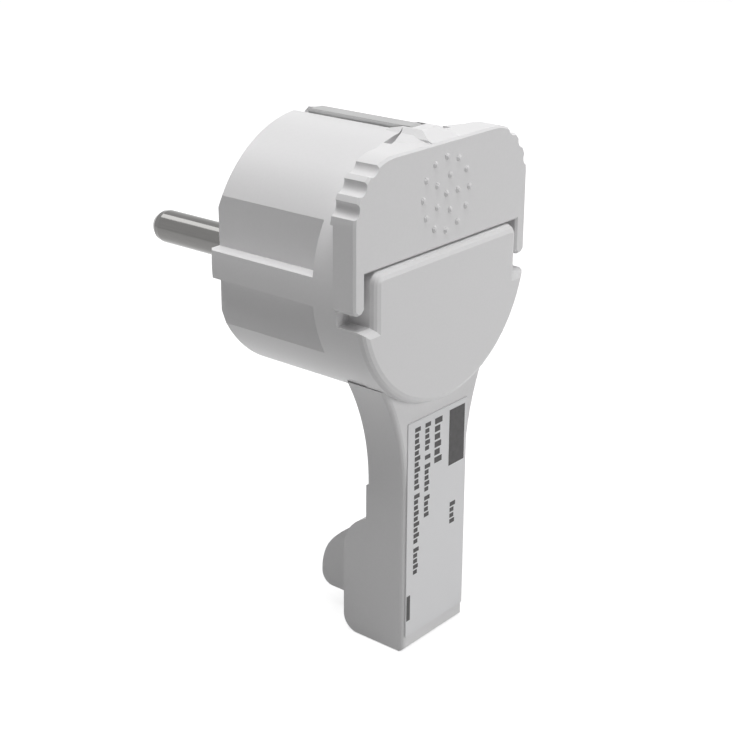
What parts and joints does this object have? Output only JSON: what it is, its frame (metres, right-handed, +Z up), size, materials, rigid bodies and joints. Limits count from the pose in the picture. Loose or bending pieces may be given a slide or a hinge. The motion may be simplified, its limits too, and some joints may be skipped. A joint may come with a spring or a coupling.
{
  "type": "type f plug",
  "caption": "Earthed round mains plug with two contact pins, side guide recesses, a disc-shaped back cover and a pull handle that holds the cable inlet.",
  "frame": {"origin": "middle of the contact face, between the two pins, in the plane the nose meets the bottom of the socket with", "axes": "+Y along the pins, the way the plug is pushed in; +Z up, away from the handle; +X to the right seen from behind the plug"},
  "size_m": [0.0374, 0.0463, 0.0751],
  "materials": {
    "shell": "glossy moulded white",
    "label": "satin sticker",
    "carrier": "matte moulded",
    "pin_metal": "nickel plated",
    "strap_metal": "rolled sheet, nickel plated",
    "screw_steel": "zinc plated"
  },
  "bodies": {
    "root": {"front_housing": "shell", "rear_cover": "shell", "label": "label", "left_pin": "pin_metal", "right_pin": "pin_metal", "pin_carrier": "carrier", "left_terminal_screw": "screw_steel", "right_terminal_screw": "screw_steel", "earth_strap": "strap_metal", "earth_socket": "pin_metal", "earth_terminal_screw": "screw_steel", "earth_clamp_plate": "strap_metal", "earth_terminal_nut": "screw_steel", "centre_screw": "screw_steel", "centre_nut": "screw_steel", "handle_screw": "screw_steel", "handle_nut": "screw_steel", "grip_screw": "screw_steel", "grip_nut": "screw_steel", "grip_pad": "carrier"}
  },
  "joints": []
}
